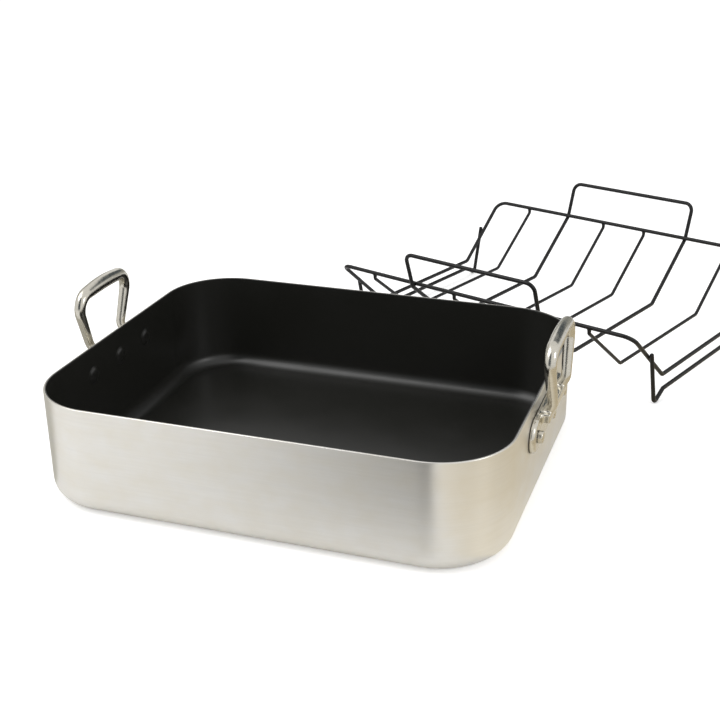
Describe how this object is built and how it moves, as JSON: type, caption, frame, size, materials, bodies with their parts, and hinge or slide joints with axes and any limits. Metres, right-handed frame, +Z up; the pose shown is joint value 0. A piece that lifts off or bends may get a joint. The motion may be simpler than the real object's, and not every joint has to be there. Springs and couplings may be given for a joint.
{
  "type": "roasting pan with rack",
  "caption": "Rectangular roasting pan with a black non-stick inside and upright riveted loop handles, and a black wire rack with a V-shaped cradle, feet and two handles.",
  "frame": {"origin": "middle of the pan's underside, on the table", "axes": "+X along the pan's long side towards its right handle, +Y from the front wall to the back wall and on towards the rack, +Z up"},
  "size_m": [0.579, 0.7328, 0.1488],
  "materials": {
    "pan_metal": "fine horizontal brushing, satin",
    "nonstick_coating": "black baked coating, satin",
    "handle_metal": "cast stainless steel, polished",
    "rivet_metal": "stainless steel, polished head",
    "rack_coating": "black baked coating on steel wire, satin"
  },
  "bodies": {
    "pan": {"pan_shell": "pan_metal", "nonstick_lining": "nonstick_coating", "handle_left": "handle_metal", "handle_right": "handle_metal", "rivet_left_front": "rivet_metal", "rivet_left_middle": "rivet_metal", "rivet_left_rear": "rivet_metal", "rivet_right_front": "rivet_metal", "rivet_right_middle": "rivet_metal", "rivet_right_rear": "rivet_metal"},
    "rack": {"perimeter_frame": "rack_coating", "handle_loop": "rack_coating", "slat_left_outer": "rack_coating", "slat_left_inner": "rack_coating", "slat_right_inner": "rack_coating", "slat_right_outer": "rack_coating", "leg_wire_left": "rack_coating", "leg_wire_right": "rack_coating"}
  },
  "joints": [
    {"name": "rack_lift", "type": "slide", "parent": "pan", "child": "rack", "axis": [0, 0, 1], "range_m": [0, 0.16]}
  ]
}
